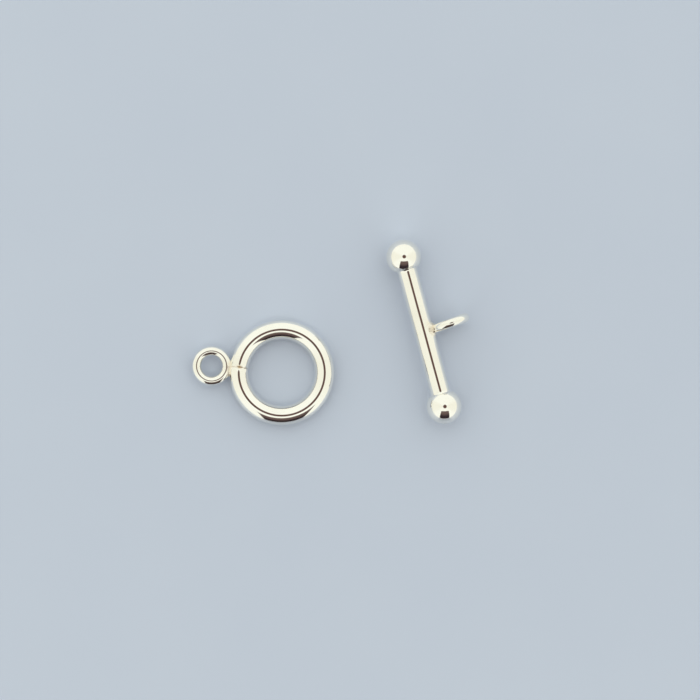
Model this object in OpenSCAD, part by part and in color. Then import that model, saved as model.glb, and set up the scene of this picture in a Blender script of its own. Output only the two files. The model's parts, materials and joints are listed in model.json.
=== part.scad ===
// Toggle clasp in round silver wire: a ring half and a bar half, lying side by side.
// Units are millimetres and degrees. +Z is up, and both halves rest on z = 0.

/* [Main ring] */
// Outside diameter of the main ring
ring_od = 12.2; // [9:0.1:15]
// Thickness of the main ring's wire
ring_wire = 2.2; // [1.5:0.1:2.6]
// Width of the seam groove where the wire's two ends meet
seam_w = 0.12; // [0.06:0.02:0.2]
// Depth of the seam groove
seam_depth = 0.06; // [0.04:0.01:0.12]

/* [Wire loops] */
// Outside diameter of the loop on each half
loop_od = 4.6; // [3.5:0.1:6]
// Thickness of each loop's wire
loop_wire = 1.1; // [0.7:0.05:1.3]

/* [Toggle bar] */
// Length of the bar over both balls
bar_len = 22; // [18:0.05:28]
// Diameter of the straight rod
rod_d = 2.25; // [1.5:0.05:2.8]
// Diameter of the ball on each end of the rod
ball_d = 4.05; // [3:0.05:5]
// Width of each ball's flat face, all round the rod where it goes in, which holds its hollow edge
ball_flat = 0.29; // [0.25:0.01:0.35]

/* [Solder] */
// Depth that the ring's loop sinks into the ring
ring_sink = 0.2; // [0.1:0.01:0.25]
// Depth that the bar's loop sinks into the rod
rod_sink = 0.15; // [0.1:0.01:0.25]
// Radius of the solder's hollow edge in the plane of the main ring
ring_fillet = 0.05; // [0.04:0.01:0.15]
// Radius of the hollow edge between the rod and each ball's flat face
ball_fillet = 0.25; // [0.1:0.01:0.25]
// Radius of the solder's other hollow edges
neck_fillet = 0.2; // [0.12:0.01:0.25]
// Depth that a hollow edge cuts into the wires beside it, so that it meets them at an angle
fillet_bite = 0.02; // [0.01:0.005:0.03]

/* [How the halves lie] */
// Turn of the ring's loop, up from the -X direction
ring_turn = 5.4; // [-20:0.1:20]
// Turn of the seam past the middle of that loop
seam_turn = 1.9; // [1:0.1:10]
// Middle of the bar from the middle of the main ring, along X
bar_x = 16.53; // [15:0.01:25]
// Middle of the bar from the middle of the main ring, along Y
bar_y = 4.76; // [-10:0.01:10]
// Lean of the bar, its upper end towards -X
bar_lean = 15.2; // [0:0.1:30]
// Turn of the bar's loop away from square to the rod, towards the upper ball
bar_loop_turn = 5; // [0:0.1:10]
// Place of the bar's loop along the rod from its middle, towards the upper ball
bar_loop_place = -0.12; // [-1:0.02:1]

/* [Hidden] */
$fn = 96;
SILVER = [0.93, 0.91, 0.86];

// Radii of the wires' centre lines, and distances between what is soldered
ring_r = (ring_od - ring_wire) / 2;
loop_r = (loop_od - loop_wire) / 2;
ring_to_loop = (ring_od + loop_od) / 2 - ring_sink;
rod_to_loop = (rod_d + loop_od) / 2 - rod_sink;
ball_to_ball = bar_len - ball_d;

// Distance of each ball's flat face from its middle
ball_face = sqrt(pow(ball_d / 2, 2) - pow(rod_d / 2 + ball_flat, 2));

// Depth that solder reaches inside the wires that it joins, and a length longer than any solder
toe_depth = loop_wire / 2;
past_solder = loop_od;

// The bar rolls on its balls until its loop touches the surface too
loop_lift = asin((loop_od - ball_d) / 2 / rod_to_loop);

// Plan directions of the two loops and of the bar's upper ball
ring_loop_dir = 180 - ring_turn;
bar_loop_dir = bar_lean + bar_loop_turn;
upper_ball_dir = 90 + bar_lean;

// Everything round in plan, as [middle, half width along X and Y], from the main ring's middle
function plan(length, angle) = length * [cos(angle), sin(angle)];
bar_middle = [bar_x, bar_y];
outlines = [
    [[0, 0], [ring_od, ring_od] / 2],
    [plan(ring_to_loop, ring_loop_dir), [loop_od, loop_od] / 2],
    [bar_middle + plan(ball_to_ball / 2, upper_ball_dir), [ball_d, ball_d] / 2],
    [bar_middle - plan(ball_to_ball / 2, upper_ball_dir), [ball_d, ball_d] / 2],
    [bar_middle + plan(bar_loop_place, upper_ball_dir)
        + plan(rod_to_loop * cos(loop_lift), bar_loop_dir),
     [abs(cos(bar_loop_dir)), abs(sin(bar_loop_dir))] * loop_r + [loop_wire, loop_wire] / 2]
];

// Middle of the whole in plan, which is the part's origin
low = [for (i = [0, 1]) min([for (o = outlines) o[0][i] - o[1][i]])];
high = [for (i = [0, 1]) max([for (o = outlines) o[0][i] + o[1][i]])];
middle = (low + high) / 2;

// Point at a distance from a centre, on the way to another point
function towards(centre, target, distance) =
    centre + (target - centre) * distance / norm(target - centre);

// Centre of the arc of radius f that touches a circle of radius r1 about the origin
// and one of radius r2 about [d, 0] from outside, above both
function between_circles(r1, r2, d, f) =
    let (x = (pow(r1 + f, 2) - pow(r2 + f, 2) + d * d) / (2 * d))
    [x, sqrt(pow(r1 + f, 2) - x * x)];

// Centre of the arc of radius f that touches the upright line through [edge, 0]
// and a circle of radius r2 about [d, 0] from outside, above the circle
function beside_line(edge, r2, d, f) =
    [edge + f, sqrt(pow(r2 + f, 2) - pow(d - edge - f, 2))];

// Round wire bent into a closed ring about Z
module wire_ring(centre_r, wire) {
    rotate_extrude() translate([centre_r, 0]) circle(d = wire);
}

// Cross section of solder: its toes reach inside the wires, and a hollow arc joins them
module solder_section(arc, f, toe_1, toe_2) {
    difference() {
        polygon([
            toe_1, arc, toe_2,
            [toe_2.x, -toe_2.y], [arc.x, -arc.y], [toe_1.x, -toe_1.y]
        ]);
        for (side = [-1, 1]) translate([arc.x, side * arc.y]) circle(r = f + fillet_bite);
    }
}

// Solder between a circle of radius r1 about the origin and one of radius r2 about [d, 0]
module solder_between_circles(r1, r2, d, f) {
    arc = between_circles(r1, r2, d, f);
    toe_1 = towards([0, 0], arc, r1 - toe_depth);
    toe_2 = towards([d, 0], arc, r2 - toe_depth);
    solder_section(arc, f, toe_1, toe_2);
}

// Solder between the upright line through [edge, 0] and a circle of radius r2 about [d, 0]
module solder_beside_line(edge, r2, d, f) {
    arc = beside_line(edge, r2, d, f);
    toe_1 = [edge - toe_depth, arc.y];
    toe_2 = towards([d, 0], arc, r2 - toe_depth);
    solder_section(arc, f, toe_1, toe_2);
}

// V groove round the main ring's wire, where its ends butt together
module seam_groove() {
    outside = seam_w;
    half_mouth = seam_w / 2 * (1 + outside / seam_depth);
    rotate([90, 0, 0]) rotate_extrude() polygon([
        [ring_wire / 2 - seam_depth, 0],
        [ring_wire / 2 + outside, half_mouth],
        [ring_wire / 2 + outside, -half_mouth]
    ]);
}

module main_ring() {
    color(SILVER) difference() {
        wire_ring(ring_r, ring_wire);
        rotate([0, 0, -seam_turn]) translate([ring_r, 0, 0]) seam_groove();
    }
}

module wire_loop() {
    color(SILVER) wire_ring(loop_r, loop_wire);
}

// Solder between the main ring and its loop, along +X from the ring's middle
module ring_solder() {
    color(SILVER) intersection() {
        linear_extrude(height = past_solder, center = true)
            solder_between_circles(ring_od / 2, loop_od / 2, ring_to_loop, ring_fillet);
        translate([ring_r, 0, 0]) rotate([90, 0, 0])
            linear_extrude(height = past_solder, center = true)
            solder_between_circles(
                ring_wire / 2, loop_wire / 2, ring_to_loop - ring_r - loop_r, neck_fillet
            );
    }
}

// Solder between the rod and its loop, along +X from the rod's axis
module bar_solder() {
    color(SILVER) intersection() {
        rotate([90, 0, 0]) linear_extrude(height = past_solder, center = true)
            solder_between_circles(rod_d / 2, loop_od / 2, rod_to_loop, neck_fillet);
        linear_extrude(height = past_solder, center = true)
            solder_beside_line(rod_d / 2, loop_wire / 2, rod_to_loop - loop_r, neck_fillet);
    }
}

module rod() {
    color(SILVER) rotate([90, 0, 0]) cylinder(d = rod_d, h = ball_to_ball, center = true);
}

// Ball about the origin, flat where the rod goes up from it
module end_ball() {
    color(SILVER) difference() {
        sphere(d = ball_d);
        translate([-ball_d / 2, -ball_d / 2, ball_face]) cube(ball_d);
    }
}

// Hollow edge between the rod and that flat face
module ball_neck() {
    arc = [rod_d / 2 + ball_fillet, ball_face + ball_fillet];
    color(SILVER) rotate_extrude() difference() {
        polygon([[0, 0], [arc.x, ball_face / 2], arc, [0, arc.y]]);
        translate(arc) circle(r = ball_fillet + fillet_bite);
    }
}

// Ring half: the main ring, its loop and the solder between them
module toggle_ring() {
    translate([-middle.x, -middle.y, ring_wire / 2]) rotate([0, 0, ring_loop_dir]) {
        main_ring();
        translate([ring_to_loop, 0, 0]) wire_loop();
        ring_solder();
    }
}

// Bar half: the rod, a ball on each end, and a loop soldered to the rod's middle
module toggle_bar() {
    translate([bar_x - middle.x, bar_y - middle.y, ball_d / 2]) {
        rotate([0, 0, bar_lean]) {
            rod();
            for (side = [-1, 1])
                translate([0, side * ball_to_ball / 2, 0]) rotate([side * 90, 0, 0]) {
                    end_ball();
                    ball_neck();
                }
            translate([0, bar_loop_place, 0]) rotate([0, 0, bar_loop_turn])
                rotate([0, -loop_lift, 0]) {
                    translate([rod_to_loop, 0, 0]) rotate([90, 0, 0]) wire_loop();
                    bar_solder();
                }
        }
    }
}

toggle_ring();
toggle_bar();
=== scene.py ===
import json
from math import atan2, cos, hypot, pi, radians, sin, tau

import bmesh
import bpy
import numpy as np
from mathutils import Matrix, Vector


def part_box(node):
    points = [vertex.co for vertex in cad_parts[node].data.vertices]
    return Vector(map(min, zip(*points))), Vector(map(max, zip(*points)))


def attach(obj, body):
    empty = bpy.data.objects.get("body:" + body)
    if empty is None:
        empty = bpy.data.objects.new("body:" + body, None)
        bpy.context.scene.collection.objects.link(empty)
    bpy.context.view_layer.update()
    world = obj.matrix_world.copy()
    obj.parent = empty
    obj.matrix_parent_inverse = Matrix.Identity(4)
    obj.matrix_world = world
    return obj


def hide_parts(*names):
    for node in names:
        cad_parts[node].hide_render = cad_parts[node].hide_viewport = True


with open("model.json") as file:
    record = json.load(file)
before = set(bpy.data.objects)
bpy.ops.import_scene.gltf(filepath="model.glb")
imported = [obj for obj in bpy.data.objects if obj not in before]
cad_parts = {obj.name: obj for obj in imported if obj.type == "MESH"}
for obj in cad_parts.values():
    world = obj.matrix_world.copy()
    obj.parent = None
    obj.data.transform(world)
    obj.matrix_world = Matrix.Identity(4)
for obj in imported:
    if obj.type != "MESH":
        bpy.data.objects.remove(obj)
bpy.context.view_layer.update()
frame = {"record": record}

MM = 0.001
MOUNTS = {mount["name"]: mount for mount in frame["record"]["mounts"]}

# Sizes of the silver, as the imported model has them
RING_OD, RING_WIRE = 12.2 * MM, 2.2 * MM
LOOP_OD, LOOP_WIRE = 4.6 * MM, 1.1 * MM
ROD_D, BALL_D, BAR_LEN = 2.25 * MM, 4.05 * MM, 22 * MM
BALL_FLAT = 0.29 * MM
RING_R = (RING_OD - RING_WIRE) / 2
LOOP_R = (LOOP_OD - LOOP_WIRE) / 2
HALF_SPAN = (BAR_LEN - BALL_D) / 2
FACE_R = ROD_D / 2 + BALL_FLAT
FACE = ((BALL_D / 2) ** 2 - FACE_R**2) ** 0.5

# Places of the silver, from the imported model's nodes and mounts
_, ring_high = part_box("toggle_ring")
bar_low, bar_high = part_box("toggle_bar")
RING_EYE = Vector(MOUNTS["ring_eye"]["pos_m"])
BAR_EYE = Vector(MOUNTS["bar_eye"]["pos_m"])
BAR_EYE_AXIS = Vector(MOUNTS["bar_eye"]["axis"])
RING_MIDDLE = Vector((ring_high.x - RING_OD / 2, ring_high.y - RING_OD / 2, RING_WIRE / 2))

# Solder: the radius of its hollow edge is about half its reach. On the ring it thins out to both
# sides, sooner on the upper one. On the bar it is fuller on the upper side, and its skin, which
# has a strength of 1 on the ring, is weaker.
SOLDER_REACH, SOLDER_REACH_THIN = 0.58 * MM, 0.08 * MM
SOLDER_HALF_WIDTHS = 0.77 * MM, 1.24 * MM
BAR_SOLDER_REACH, BAR_SOLDER_REACH_UPPER = 0.65 * MM, 1.0 * MM
BAR_SOLDER_SKIN = 0.75

# Solder that ran along the rod below the loop
SMEAR = 0.1 * MM
SMEAR_LENGTH = 0.45 * MM

# Hollow edge between the rod and each ball's flat face, the length of rod that its columns
# cover, and the rounded edge of that face
CREASE_REACH = 0.5 * MM
CREASE_LENGTH = 0.36 * MM
FACE_EDGE_REACH = 0.08 * MM

# Seam in the main ring, past the middle of its loop: a fine groove in a rounded dip, which is
# wider and deeper on the lower wire end and changes from one end to the other within a few
# SEAM_STEP. The cut bends towards that end on the ring's outside.
SEAM_TURN = radians(1.9)
SEAM_BEND = 0.06 * MM
SEAM_W = 0.05 * MM
SEAM_DEPTH = 0.03 * MM
SEAM_STEP = SEAM_W / 3
DIP_DEPTHS = 0.065 * MM, 0.105 * MM
DIP_LENGTHS = 0.2 * MM, 0.29 * MM

# Chip and burr on the inner side of the seam. The burr sinks into the lower wire end along it.
# Places are past the seam, outwards from the wire's middle and up.
CHIP = 0.0, -0.82 * MM, 0.73 * MM
CHIP_DEPTH = 0.06 * MM
CHIP_R = 0.11 * MM
BURR_HEAD = 0.26 * MM, -0.79 * MM, 0.57 * MM
BURR_TAIL = 0.60 * MM, -0.66 * MM, 0.52 * MM
BURR_R = 0.18 * MM
BURR_REACH = 0.12 * MM

# Dirt in the seam: a spot where it crosses the top of the wire, and less of it all along the
# groove. The solder hides some of the groove's.
STAIN_SIZE = 0.17 * MM, 0.28 * MM
STAIN_PLACE = -0.04 * MM, -0.1 * MM
GROOVE_DIRT, GROOVE_DIRT_HIDDEN = 0.4, 0.6
GROOVE_DIRT_W = SEAM_W * 1.3

# Fine lumps of the solder, and slow unevenness of drawn and polished wire. Each has a height and,
# for its waves, a seed, their number and the shortest and longest of them.
SOLDER_LUMP = 0.006 * MM
RING_LUMPS = 3, 12, 0.2 * MM, 0.5 * MM
BAR_LUMPS = 11, 12, 0.3 * MM, 0.6 * MM
RIPPLE = 0.0025 * MM
RING_RIPPLES = 5, 9, 1.2 * MM, 4 * MM
BAR_RIPPLES = 13, 9, 1.2 * MM, 4 * MM


def waves(points, seed, count, shortest, longest):
    """Smooth noise from -1 to 1: plane waves of random direction, between two wavelengths."""
    rng = np.random.default_rng(seed)
    total = np.zeros(len(points))
    for _ in range(count):
        direction = rng.normal(size=3)
        direction /= np.linalg.norm(direction)
        wavelength = rng.uniform(shortest, longest)
        total += np.sin(points @ direction * (tau / wavelength) + rng.uniform(0, tau))
    return total / count


def torus_field(points, centre, normal, centre_r, wire_r):
    """Distance from the surface of a round wire ring, less than zero inside."""
    offset = points - centre
    height = offset @ normal
    radial = np.linalg.norm(offset - height[:, None] * normal, axis=1)
    return np.hypot(radial - centre_r, height) - wire_r


def capsule_field(points, start, end, radius):
    """Distance from the surface of a straight round-ended rod."""
    along = end - start
    share = np.clip((points - start) @ along / (along @ along), 0, 1)
    return np.linalg.norm(points - start - share[:, None] * along, axis=1) - radius


def blend_share(a, b, reach):
    """0 away from where two fields meet, 1 where they are equal."""
    return np.clip(1 - np.abs(a - b) / reach, 0, 1)


def smooth_union(a, b, reach):
    """Joins two fields with a hollow fillet, as solder does."""
    return np.minimum(a, b) - blend_share(a, b, reach) ** 3 * reach / 6


def smooth_overlap(a, b, reach):
    """What two fields have in common, with a rounded edge."""
    return -smooth_union(-a, -b, reach)


def soft_step(places, width):
    """0 well below zero and 1 well above it, with a slope of 1 / (4 width) between."""
    return (1 + np.tanh(places / width / 2)) / 2


class Half:
    """One half of the clasp in its own frame: a field whose zero is the surface, and a mesh
    of grids that settle on it. A grid's hole is bridged to another grid's. Each kind of half
    gives its field, the two fields that its solder joined, and the marks on its surface."""

    def __init__(self, place):
        self.place = place
        self.points = np.zeros((0, 3))
        self.faces = []

    def settle(self, sources, targets, steps=60):
        """Moves targets to the surface along the rays from their sources."""
        rays = targets - sources
        reach = np.linalg.norm(rays, axis=1)
        rays = rays / reach[:, None]
        for _ in range(steps):
            reach = reach - self.field(sources + rays * reach[:, None])
        return sources + rays * reach[:, None]

    def add(self, points):
        """Adds points and returns their numbers."""
        first = len(self.points)
        self.points = np.vstack([self.points, points])
        return np.arange(first, len(self.points))

    def add_grid(self, sources, targets, hole, wrap_columns=True):
        """Adds a grid of quads, wrapped along its rows, without the cells of its hole.
        hole is (rows, first column, columns), starting at row 0. Returns the numbers of all
        its points and of those round the hole."""
        rows, columns = sources.shape[:2]
        settled = self.settle(sources.reshape(-1, 3), targets.reshape(-1, 3))
        number = self.add(settled).reshape(rows, columns)
        hole_rows, first, hole_columns = hole
        last = first + hole_columns
        for i in range(rows):
            below = (i + 1) % rows
            for j in range(columns if wrap_columns else columns - 1):
                if i < hole_rows and first <= j < last:
                    continue
                right = (j + 1) % columns
                self.faces.append(
                    (number[i, j], number[below, j], number[below, right], number[i, right])
                )
        border = (
            [number[i, first] for i in range(hole_rows)]
            + [number[hole_rows, j] for j in range(first, last)]
            + [number[i, last] for i in range(hole_rows, 0, -1)]
            + [number[0, j] for j in range(last, first, -1)]
        )
        return number, border

    def waist(self, neck, axis, spread, steps=200):
        """Places on the surface as far from one wire as from the other, found outwards from
        the neck along spread and to and fro along the axis."""
        slide_share, reach_share = 1 / 4, 1 / 2  # small enough for the steps to settle
        reach = np.linalg.norm(spread, axis=1)
        rays = spread / reach[:, None]
        slide = np.zeros(len(rays))
        for _ in range(steps):
            points = neck + rays * reach[:, None] + slide[:, None] * axis
            first, second = self.joined(points)
            slide = slide + (second - first) * slide_share
            reach = reach - self.field(points) * reach_share
        return points

    def bridge(self, border_a, border_b, inside_a, inside_b, neck, rows):
        """Joins two holes' borders over the solder, through the neck between them."""
        points_a, points_b = self.points[border_a], self.points[border_b]
        axis = inside_b - inside_a
        axis = axis / np.linalg.norm(axis)
        spread = (points_a + points_b) / 2 - neck
        spread = spread - (spread @ axis)[:, None] * axis
        waist = self.waist(neck, axis, spread)
        rings = [border_a]
        shares = np.arange(1, rows + 1) / rows
        for share in shares:
            targets = points_a + (waist - points_a) * share
            sources = np.broadcast_to(inside_a, targets.shape)
            rings.append(self.add(self.settle(sources, targets)))
        for share in shares[:-1]:
            targets = waist + (points_b - waist) * share
            sources = np.broadcast_to(inside_b, targets.shape)
            rings.append(self.add(self.settle(sources, targets)))
        rings.append(border_b)
        for ring, following in zip(rings, rings[1:]):
            self.join_rings(ring, following)

    def join_rings(self, ring, following):
        """Quads between two closed rows of the same number of points."""
        for k in range(len(ring)):
            right = (k + 1) % len(ring)
            self.faces.append((ring[k], ring[right], following[right], following[k]))

    def cap(self, ring, source, target):
        """Closes a row of points with a fan to a pole."""
        pole = self.add(self.settle(source[None], target[None]))[0]
        for k in range(len(ring)):
            self.faces.append((ring[k], ring[(k + 1) % len(ring)], pole))

    def normals(self, points, step=0.002 * MM):
        """Unit gradient of the field."""
        slopes = [
            self.field(points + step * side) - self.field(points - step * side)
            for side in np.eye(3)
        ]
        gradient = np.stack(slopes, axis=1)
        return gradient / np.linalg.norm(gradient, axis=1)[:, None]

    def build(self, name, material):
        """Makes the Blender mesh, with the field's own normals and marks."""
        used, renumbered = np.unique(np.concatenate(self.faces), return_inverse=True)
        splits = np.cumsum([len(face) for face in self.faces])[:-1]
        points = self.points[used]
        mesh = bpy.data.meshes.new(name)
        turn = np.array(self.place.to_3x3())
        placed = points @ turn.T + np.array(self.place.translation)
        mesh.from_pydata(placed.tolist(), [], [f.tolist() for f in np.split(renumbered, splits)])
        face_up(mesh)
        mesh.shade_smooth()
        mesh.normals_split_custom_set_from_vertices((self.normals(points) @ turn.T).tolist())
        for mark, values in self.marks(points).items():
            layer = mesh.attributes.new(mark, "FLOAT", "POINT")
            layer.data.foreach_set("value", values.astype(np.float32))
        mesh.materials.append(material)
        piece = bpy.data.objects.new(name, mesh)
        bpy.context.scene.collection.objects.link(piece)
        return piece


def face_up(mesh):
    """Turns all faces of a closed mesh outwards."""
    bm = bmesh.new()
    bm.from_mesh(mesh)
    bmesh.ops.recalc_face_normals(bm, faces=bm.faces)
    bm.to_mesh(mesh)
    bm.free()


def stretch(*knots):
    """Samples along a line: knots are positions, with the number of steps between them."""
    samples = [np.array([knots[0]])]
    for start, count, end in zip(knots[0:-2:2], knots[1::2], knots[2::2]):
        samples.append(np.linspace(start, end, count + 1)[1:])
    return np.concatenate(samples)


def round_about(hole_cells, edge, cells):
    """Turns of a full circle: across a hole from -edge to edge, and round the rest."""
    return stretch(-edge, hole_cells, edge, cells, tau - edge)[:-1]


def tube_grid(centre, start, side, normal, centre_r, wire_r, along, around):
    """Sources on a wire ring's centre line, and targets on its wire. along turns from start to
    side, and around turns from outwards to the normal."""
    radial = np.cos(along)[:, None] * start + np.sin(along)[:, None] * side
    sources = (centre + centre_r * radial)[:, None] + np.zeros((1, len(around), 1))
    outward = np.cos(around)[None, :, None] * radial[:, None]
    upward = np.sin(around)[None, :, None] * normal
    return sources, sources + wire_r * (outward + upward)


X, Y, Z = np.eye(3)

# Cells of each grid's hole: the solder's bridge has one column for each cell of its edge. On the
# main ring the hole's rows lie before, across and past the seam, which has SEAM_SIDE to each side.
SEAM_ROWS, SEAM_SIDE = (8, 13, 11), radians(1.3)
HOLE_ROWS, HOLE_COLUMNS, BRIDGE_ROWS = sum(SEAM_ROWS), 24, 9

# Half of each hole, as a turn along or around the wire, and the cells round the rest of it
RING_ALONG, RING_AROUND = (radians(12), 300), (radians(40), 56)
RING_LOOP_ALONG, RING_LOOP_AROUND = (radians(32), 118), (radians(75), 34)
BAR_LOOP_ALONG, BAR_LOOP_AROUND = (radians(24), 124), (radians(82), 32)
ROD_AROUND = radians(50), 64

# Columns along the bar: from the small cap at a ball's pole to its flat face's edge, across that
# edge and on to the end of the hollow one, then over the rod's last stretch and on to the hole
POLE_CAP = radians(2)
FACE_EDGE_SIDES = radians(3), radians(1.5)
BALL_COLUMNS = 52, 10, 30
ROD_END_STRETCH, ROD_HOLE_HALF = 0.1 * MM, 0.8 * MM
ROD_COLUMNS = 4, 56

# Place in the rod, as a share of its radius, from which the solder's points are found
ROD_SOURCE = 0.3


class RingHalf(Half):
    """Main ring about Z, with its loop along +X."""

    def __init__(self):
        along = RING_EYE - RING_MIDDLE
        super().__init__(
            Matrix.Translation(RING_MIDDLE) @ Matrix.Rotation(atan2(along.y, along.x), 4, "Z")
        )
        self.loop_middle = X * along.length
        self.grow()

    def parts(self, points):
        """Fields of the plain main ring and the loop."""
        ring = torus_field(points, 0 * X, Z, RING_R, RING_WIRE / 2)
        loop = torus_field(points, self.loop_middle, Z, LOOP_R, LOOP_WIRE / 2)
        return ring, loop

    joined = parts

    def solder_reach(self, points):
        """Reach of the solder, which thins out to both sides of the neck."""
        upper = np.clip(-points[:, 1] / SOLDER_HALF_WIDTHS[0], 0, 1) ** 2
        lower = np.clip(points[:, 1] / SOLDER_HALF_WIDTHS[1], 0, 1) ** 4
        return SOLDER_REACH + (SOLDER_REACH_THIN - SOLDER_REACH) * (upper + lower)

    def seam(self, points):
        """Distance past the seam along the wire, which is positive on its lower end."""
        outward = np.hypot(points[:, 0], points[:, 1]) - RING_R
        bend = SEAM_BEND * np.clip(outward / (RING_WIRE / 2), 0, 1) ** 2
        return (np.arctan2(points[:, 1], points[:, 0]) + SEAM_TURN) * RING_R - bend

    def beside_seam(self, past, outward, up):
        """Place past the seam along the wire, outwards from the wire's middle and up."""
        turn = past / RING_R - SEAM_TURN
        return (RING_R + outward) * (X * cos(turn) + Y * sin(turn)) + Z * up

    def field(self, points):
        """Distance from the surface of the main ring, with its seam, the loop and the solder."""
        ring, loop = self.parts(points)
        reach = self.solder_reach(points)
        solder = blend_share(ring, loop, reach)
        past = self.seam(points)
        lower_end = soft_step(past, SEAM_STEP)
        depth, length = (
            upper + (lower - upper) * lower_end for upper, lower in (DIP_DEPTHS, DIP_LENGTHS)
        )
        dip = depth * np.exp(-np.hypot(past, SEAM_W) / length)
        groove = SEAM_DEPTH * np.exp(-((past / SEAM_W) ** 2))
        from_chip = np.linalg.norm(points - self.beside_seam(*CHIP), axis=1)
        chip = CHIP_DEPTH * np.exp(-((from_chip / CHIP_R) ** 2))
        head, tail = self.beside_seam(*BURR_HEAD), self.beside_seam(*BURR_TAIL)
        burr = capsule_field(points, head, tail, BURR_R)
        ring = smooth_union(ring + (dip + groove) * (1 - solder), burr, BURR_REACH) + chip
        lumps = SOLDER_LUMP * solder * waves(points, *RING_LUMPS)
        ripple = RIPPLE * waves(points, *RING_RIPPLES)
        return smooth_union(ring, loop, reach) + lumps + ripple

    def marks(self, points):
        """Strengths of the solder's skin and of the dirt in the seam, from 0 to 1."""
        ring, loop = self.parts(points)
        solder = blend_share(ring, loop, self.solder_reach(points))
        past = self.seam(points)
        groove = GROOVE_DIRT * np.exp(-((past / GROOVE_DIRT_W) ** 2)) * (ring < loop)
        outward = np.hypot(points[:, 0], points[:, 1]) - RING_R
        from_stain = np.hypot(
            (past - STAIN_PLACE[0]) / STAIN_SIZE[0], (outward - STAIN_PLACE[1]) / STAIN_SIZE[1]
        )
        stain = np.exp(-(from_stain**2)) * (points[:, 2] > 0)
        dirt = np.maximum(groove * (1 - GROOVE_DIRT_HIDDEN * solder), stain)
        return {"solder": solder, "seam": dirt}

    def along_ring(self):
        """Turns along the main ring, finest across the seam."""
        edge, cells = RING_ALONG
        before, across, past = SEAM_ROWS
        seam_low, seam_high = -SEAM_TURN - SEAM_SIDE, -SEAM_TURN + SEAM_SIDE
        return stretch(
            -edge, before, seam_low, across, seam_high, past, edge, cells, tau - edge
        )[:-1]

    def grow(self):
        """Makes the grids of the main ring and the loop, and the solder's bridge."""
        hole = (HOLE_ROWS, 0, HOLE_COLUMNS)
        around = round_about(HOLE_COLUMNS, *RING_AROUND)
        grid = tube_grid(0 * X, X, Y, Z, RING_R, RING_WIRE / 2, self.along_ring(), around)
        _, ring_border = self.add_grid(*grid, hole)
        along = round_about(HOLE_ROWS, *RING_LOOP_ALONG)
        around = round_about(HOLE_COLUMNS, *RING_LOOP_AROUND)
        grid = tube_grid(self.loop_middle, -X, Y, Z, LOOP_R, LOOP_WIRE / 2, along, around)
        _, loop_border = self.add_grid(*grid, hole)
        inside_ring, inside_loop = X * RING_R, self.loop_middle - X * LOOP_R
        neck = (X * RING_OD / 2 + self.loop_middle - X * LOOP_OD / 2) / 2
        self.bridge(ring_border, loop_border, inside_ring, inside_loop, neck, BRIDGE_ROWS)


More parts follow.
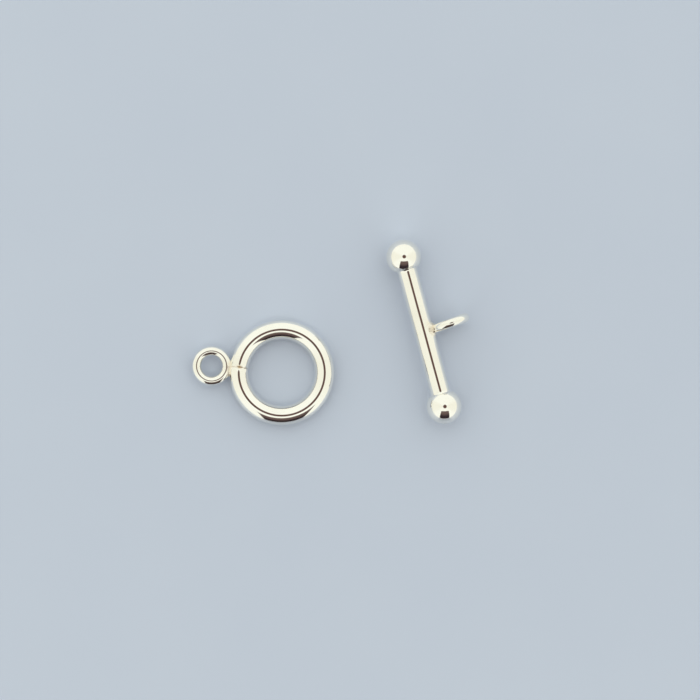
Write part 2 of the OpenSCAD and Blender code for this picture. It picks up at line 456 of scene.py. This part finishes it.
class BarHalf(Half):
    """Rod along Y with a ball on each end, and the loop on its +X side."""

    def __init__(self):
        lean = np.arccos((bar_high.y - bar_low.y - BALL_D) / 2 / HALF_SPAN)
        middle = Vector((
            bar_low.x + BALL_D / 2 + HALF_SPAN * sin(lean), (bar_low.y + bar_high.y) / 2, BALL_D / 2
        ))
        super().__init__(Matrix.Translation(middle) @ Matrix.Rotation(lean, 4, "Z"))
        back = self.place.inverted()
        self.loop_middle = np.array(back @ BAR_EYE)
        self.loop_normal = np.array(back.to_3x3() @ BAR_EYE_AXIS)
        self.loop_start = Y * (self.loop_middle @ self.loop_normal) / self.loop_normal[1]
        self.loop_dir = self.loop_middle - self.loop_start
        self.loop_dir /= np.linalg.norm(self.loop_dir)
        self.loop_side = np.cross(self.loop_dir, self.loop_normal)
        self.grow()

    def parts(self, points):
        """Fields of the rod, the nearer ball and the loop."""
        rod = np.hypot(points[:, 0], points[:, 2]) - ROD_D / 2
        rod = np.maximum(rod, np.abs(points[:, 1]) - HALF_SPAN)
        from_ball = points - np.sign(points[:, 1:2]) * HALF_SPAN * Y
        ball = np.linalg.norm(from_ball, axis=1) - BALL_D / 2
        face = HALF_SPAN - np.abs(points[:, 1]) - FACE
        ball = smooth_overlap(ball, face, FACE_EDGE_REACH)
        loop = torus_field(points, self.loop_middle, self.loop_normal, LOOP_R, LOOP_WIRE / 2)
        return rod, ball, loop

    def joined(self, points):
        """Fields of the whole bar and the loop."""
        rod, ball, loop = self.parts(points)
        return np.minimum(rod, ball), loop

    def smear(self, points):
        """Thin solder that ran along the rod's side, from the loop towards the lower ball."""
        down = np.maximum((self.loop_start[1] - points[:, 1]) / SMEAR_LENGTH, 0)
        side = np.clip(points[:, 0] / (ROD_D / 2), 0, 1)
        return SMEAR * side**3 * down * np.exp(1 - down)

    def solder_reach(self, points):
        """Reach of the solder, which is fuller on the upper side of the loop."""
        upper = np.clip((points[:, 1] - self.loop_start[1]) / (LOOP_WIRE / 2), 0, 1)
        return BAR_SOLDER_REACH + (BAR_SOLDER_REACH_UPPER - BAR_SOLDER_REACH) * upper

    def field(self, points):
        """Distance from the surface of the rod, its balls, the loop and the solder."""
        rod, ball, loop = self.parts(points)
        bar = smooth_union(rod, ball, CREASE_REACH)
        reach = self.solder_reach(points)
        lumps = blend_share(bar, loop, reach) * waves(points, *BAR_LUMPS)
        ripple = RIPPLE * waves(points, *BAR_RIPPLES)
        bar = smooth_union(bar - self.smear(points), loop, reach)
        return bar + SOLDER_LUMP * lumps + ripple

    def marks(self, points):
        """Strength of the solder's skin, from 0 to 1."""
        rod, _, loop = self.parts(points)
        return {"solder": BAR_SOLDER_SKIN * blend_share(rod, loop, self.solder_reach(points))}

    def rod_and_balls(self, turns, hole_middle):
        """Sources and targets of a body of revolution about Y, one column for each place along
        it, and the column where the hole starts. Each ball's columns go on over its flat face."""
        before, across, past = BALL_COLUMNS
        face_edge = pi - atan2(FACE_R, FACE)
        edge_low, edge_high = face_edge - FACE_EDGE_SIDES[0], face_edge + FACE_EDGE_SIDES[1]
        crease_end = pi - atan2(ROD_D / 2, FACE + CREASE_LENGTH)
        polar = stretch(POLE_CAP, before, edge_low, across, edge_high, past, crease_end)
        end_columns, side_columns = ROD_COLUMNS
        rod_end = HALF_SPAN - FACE - CREASE_LENGTH
        near_end = rod_end - ROD_END_STRETCH
        low, high = hole_middle - ROD_HOLE_HALF, hole_middle + ROD_HOLE_HALF
        rod = stretch(
            -rod_end, end_columns, -near_end, side_columns, low, HOLE_COLUMNS, high,
            side_columns, near_end, end_columns, rod_end
        )[1:-1]
        ball_y, ball_r = -BALL_D / 2 * np.cos(polar), BALL_D / 2 * np.sin(polar)
        middle = np.full(len(polar), HALF_SPAN)
        source_y = np.concatenate([-middle, rod, middle])
        target_y = np.concatenate([ball_y - HALF_SPAN, rod, HALF_SPAN - ball_y[::-1]])
        target_r = np.concatenate([ball_r, ROD_D / 2 + 0 * rod, ball_r[::-1]])
        radial = np.cos(turns)[:, None] * X + np.sin(turns)[:, None] * Z
        sources = source_y[None, :, None] * Y + np.zeros((len(turns), 1, 1))
        targets = target_y[None, :, None] * Y + target_r[None, :, None] * radial[:, None]
        return sources, targets, len(polar) + int(np.argmin(np.abs(rod - low)))

    def grow(self):
        """Makes the grids of the rod with its balls and of the loop, and the solder's bridge."""
        direction = self.loop_dir
        lift = atan2(direction[2], direction[0])
        to_contact = direction * ROD_D / 2 / hypot(direction[0], direction[2])
        contact = self.loop_start + to_contact
        turns = lift + round_about(HOLE_ROWS, *ROD_AROUND)
        sources, targets, first = self.rod_and_balls(turns, contact[1])
        hole = (HOLE_ROWS, first, HOLE_COLUMNS)
        number, rod_border = self.add_grid(sources, targets, hole, wrap_columns=False)
        for column, end in ((0, -1), (-1, 1)):
            ball = end * HALF_SPAN * Y
            self.cap(number[:, column], ball, ball + end * BALL_D / 2 * Y)
        along = round_about(HOLE_ROWS, *BAR_LOOP_ALONG)
        around = round_about(HOLE_COLUMNS, *BAR_LOOP_AROUND)
        grid = tube_grid(
            self.loop_middle, -direction, self.loop_side, self.loop_normal,
            LOOP_R, LOOP_WIRE / 2, along, around
        )
        _, loop_border = self.add_grid(*grid, (HOLE_ROWS, 0, HOLE_COLUMNS))
        inside_loop = self.loop_middle - direction * LOOP_R
        neck = (contact + inside_loop - direction * LOOP_WIRE / 2) / 2
        inside_rod = self.loop_start + to_contact * ROD_SOURCE
        self.bridge(rod_border, loop_border, inside_rod, inside_loop, neck, BRIDGE_ROWS)


# Materials


def new_material(name):
    """A node material, its tree and its shader."""
    material = bpy.data.materials.new(name)
    material.use_nodes = True
    tree = material.node_tree
    return material, tree, tree.nodes["Principled BSDF"]


def link(tree, source, target):
    """Feeds a socket from a socket, a number or a colour."""
    if isinstance(source, bpy.types.NodeSocket):
        tree.links.new(source, target)
    else:
        target.default_value = source


def calculate(tree, operation, *values):
    """Output of a Math node."""
    node = tree.nodes.new("ShaderNodeMath")
    node.operation = operation
    for value, socket in zip(values, node.inputs):
        link(tree, value, socket)
    return node.outputs[0]


def remap(tree, value, low, high, new_low, new_high):
    """A value taken smoothly from one range to another."""
    node = tree.nodes.new("ShaderNodeMapRange")
    node.interpolation_type = "SMOOTHSTEP"
    for source, socket in zip((value, low, high, new_low, new_high), node.inputs):
        link(tree, source, socket)
    return node.outputs[0]


def mix_colours(tree, share, first, second):
    """Colour between two colours, which are inputs 6 and 7 and output 2 of a Mix node."""
    node = tree.nodes.new("ShaderNodeMix")
    node.data_type = "RGBA"
    link(tree, share, node.inputs[0])
    link(tree, first, node.inputs[6])
    link(tree, second, node.inputs[7])
    return node.outputs[2]


def noise(tree, scale, detail=3, stretch_by=(1, 1, 1)):
    """Noise over the piece's own coordinates, which are metres. Scale is in lumps a metre."""
    place = tree.nodes.new("ShaderNodeTexCoord")
    mapping = tree.nodes.new("ShaderNodeMapping")
    mapping.inputs["Scale"].default_value = stretch_by
    node = tree.nodes.new("ShaderNodeTexNoise")
    node.inputs["Scale"].default_value = scale
    node.inputs["Detail"].default_value = detail
    tree.links.new(place.outputs["Object"], mapping.inputs["Vector"])
    tree.links.new(mapping.outputs["Vector"], node.inputs["Vector"])
    return node.outputs["Fac"]


def mark(tree, name):
    """A mark that the mesh carries."""
    node = tree.nodes.new("ShaderNodeAttribute")
    node.attribute_name = name
    return node.outputs["Fac"]


SILVER = (0.95, 0.93, 0.88, 1)
SILVER_DULL = (0.90, 0.875, 0.81, 1)
SOLDER_TONE = (0.87, 0.76, 0.61, 1)
SEAM_TONE = (0.62, 0.40, 0.18, 1)

# Clouds of duller and rougher silver: their size in lumps a metre, the ranges of the noise over
# which the tone and the polish change, and what they change to
CLOUD_SCALE = 350
DULL_CLOUD, DULL_SHARE = (0.45, 0.8), 0.6
POLISH_CLOUD, POLISH_ROUGHNESS = (0.3, 0.75), (0.03, 0.075)

# Specks in the solder's skin, where it is thinner, and the roughness of that skin and of dirt
SPECK_SCALE = 4500
SKIN_SPECKS, SKIN_LEAST = (0.3, 0.6), 0.45
SKIN_ROUGHNESS, DIRT_ROUGHNESS = 0.5, 0.35

# Hairlines that polishing leaves
HAIRLINE_SCALE, HAIRLINE_STRETCH = 2500, (1, 6, 1)
HAIRLINE_STRENGTH, HAIRLINE_DEPTH = 0.04, 0.01 * MM


def polished_silver():
    """Polished wire, with a duller and warmer skin on the solder and brown dirt in the seam."""
    material, tree, shader = new_material("polished_silver")
    solder, seam = mark(tree, "solder"), mark(tree, "seam")
    cloud = noise(tree, CLOUD_SCALE, detail=4)
    speck = noise(tree, SPECK_SCALE, detail=5)
    dullness = remap(tree, cloud, *DULL_CLOUD, 0, DULL_SHARE)
    dulled = mix_colours(tree, dullness, SILVER, SILVER_DULL)
    skin = calculate(tree, "MULTIPLY", solder, remap(tree, speck, *SKIN_SPECKS, SKIN_LEAST, 1))
    joined = mix_colours(tree, skin, dulled, SOLDER_TONE)
    link(tree, mix_colours(tree, seam, joined, SEAM_TONE), shader.inputs["Base Color"])
    shader.inputs["Metallic"].default_value = 1
    rough = remap(tree, cloud, *POLISH_CLOUD, *POLISH_ROUGHNESS)
    for strength, roughness in ((skin, SKIN_ROUGHNESS), (seam, DIRT_ROUGHNESS)):
        rough = calculate(tree, "ADD", rough, calculate(tree, "MULTIPLY", strength, roughness))
    link(tree, rough, shader.inputs["Roughness"])
    hairlines = noise(tree, HAIRLINE_SCALE, detail=6, stretch_by=HAIRLINE_STRETCH)
    bump = tree.nodes.new("ShaderNodeBump")
    bump.inputs["Strength"].default_value = HAIRLINE_STRENGTH
    bump.inputs["Distance"].default_value = HAIRLINE_DEPTH
    link(tree, hairlines, bump.inputs["Height"])
    link(tree, bump.outputs["Normal"], shader.inputs["Normal"])
    return material


FLOOR_TONE = (0.60, 0.67, 0.84, 1)
FLOOR_TONE_2 = (0.63, 0.70, 0.86, 1)
FLOOR_CLOUD_SCALE = 60
FLOOR_ROUGHNESS = 0.3
FLOOR_SIZE = 3.0


def pale_floor():
    """Plain pale surface, whose sheen shows at grazing angles."""
    material, tree, shader = new_material("pale_floor")
    tone = mix_colours(tree, noise(tree, FLOOR_CLOUD_SCALE), FLOOR_TONE, FLOOR_TONE_2)
    link(tree, tone, shader.inputs["Base Color"])
    shader.inputs["Roughness"].default_value = FLOOR_ROUGHNESS
    half = FLOOR_SIZE / 2
    mesh = bpy.data.meshes.new("floor")
    corners = [(x, y, 0) for x, y in ((-half, -half), (half, -half), (half, half), (-half, half))]
    mesh.from_pydata(corners, [], [(0, 1, 2, 3)])
    mesh.materials.append(material)
    floor = bpy.data.objects.new("floor", mesh)
    bpy.context.scene.collection.objects.link(floor)
    return floor


# Light: a white tent all round, with a round opening straight above and a door in front

# The cloth's tone changes towards the left and right sides, from this sideways share on
TENT = (1.016, 1.037, 0.944)
TENT_SIDES = (0.955, 0.958, 0.84)
TENT_SIDES_FROM = 0.77

# The opening above, whose soft rim lies between two shares of its radius
TOP_OPENING = (0.125, 0.07, 0.06)
TOP_OPENING_DIRECTION = Vector((0.045, 0, 1)).normalized()
TOP_OPENING_RADIUS = radians(11.8)
TOP_OPENING_RIM = 1.2, 0.8

# The door, darker low down: heights between which its tone changes, and its corners as
# directions: left top, right top, right foot and left foot
DOOR_HIGH = (0.15, 0.105, 0.094)
DOOR_LOW = (0.034, 0.024, 0.028)
DOOR_FADE = 0.3, 0.75
DOOR = [
    Vector(corner) for corner in (
        (-0.333, -0.49, 0.79), (0.45, -0.46, 0.78), (0.408, -0.912, 0.012), (-0.367, -0.93, 0.012)
    )
]
DOOR_EDGE = 0.05

# A little over 1, which keeps the level share of a direction, a divisor, above 0
JUST_OVER_1 = 1.0001


def light_tent():
    """World shader: the tent's cloth is the light, and its openings are dark."""
    world = bpy.data.worlds.new("light_tent")
    bpy.context.scene.world = world
    world.use_nodes = True
    tree = world.node_tree
    direction = tree.nodes.new("ShaderNodeTexCoord").outputs["Generated"]

    def along(axis):
        """Share of the direction that lies along an axis."""
        node = tree.nodes.new("ShaderNodeVectorMath")
        node.operation = "DOT_PRODUCT"
        link(tree, direction, node.inputs[0])
        node.inputs[1].default_value = axis
        return node.outputs["Value"]

    up = along(Z)
    level_squared = calculate(tree, "SUBTRACT", JUST_OVER_1, calculate(tree, "POWER", up, 2))
    level = calculate(tree, "SQRT", level_squared)
    sideways = calculate(tree, "DIVIDE", calculate(tree, "ABSOLUTE", along(X)), level)
    sides = remap(tree, sideways, TENT_SIDES_FROM, 1, 0, 1)
    cloth = mix_colours(tree, sides, (*TENT, 1), (*TENT_SIDES, 1))
    door = 1.0
    for corner, following in zip(DOOR, DOOR[1:] + DOOR[:1]):
        edge = following.cross(corner).normalized()
        inside = remap(tree, along(edge), -DOOR_EDGE / 2, DOOR_EDGE / 2, 0, 1)
        door = calculate(tree, "MULTIPLY", door, inside)
    height = remap(tree, up, *DOOR_FADE, 0, 1)
    gloom = mix_colours(tree, height, (*DOOR_LOW, 1), (*DOOR_HIGH, 1))
    colour = mix_colours(tree, door, cloth, gloom)
    rim = [cos(TOP_OPENING_RADIUS * share) for share in TOP_OPENING_RIM]
    top = remap(tree, along(TOP_OPENING_DIRECTION), *rim, 0, 1)
    colour = mix_colours(tree, top, colour, (*TOP_OPENING, 1))
    link(tree, colour, tree.nodes["Background"].inputs["Color"])


# Camera: straight above, as in the photograph, whose frame is 700 pixels square. PIXEL_SIZE is
# that of a pixel at the height of the ring's middle.

PIXELS = 700
FOCAL_PIXELS = 2080
PIXEL_SIZE = 0.1165 * MM
RING_PIXEL = (281.2, 372.1)
SENSOR_MM = 36
CLIP = 0.01, 10


def camera_above():
    """Camera over the place that puts the ring's middle on its pixel."""
    centre = (PIXELS - 1) / 2
    x = RING_MIDDLE.x + (centre - RING_PIXEL[0]) * PIXEL_SIZE
    y = RING_MIDDLE.y + (RING_PIXEL[1] - centre) * PIXEL_SIZE
    data = bpy.data.cameras.new("camera")
    data.sensor_width = SENSOR_MM
    data.lens = SENSOR_MM * FOCAL_PIXELS / PIXELS
    data.clip_start, data.clip_end = CLIP
    camera = bpy.data.objects.new("camera", data)
    camera.location = (x, y, RING_WIRE / 2 + FOCAL_PIXELS * PIXEL_SIZE)
    bpy.context.scene.collection.objects.link(camera)
    bpy.context.scene.camera = camera


camera_above()
light_tent()
pale_floor()

silver = polished_silver()
for half, name, node in (
    (RingHalf(), "ring_half_silver", "toggle_ring"),
    (BarHalf(), "bar_half_silver", "toggle_bar"),
):
    piece = half.build(name, silver)
    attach(piece, "root")
    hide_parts(node)

bpy.context.scene.view_settings.view_transform = "Standard"
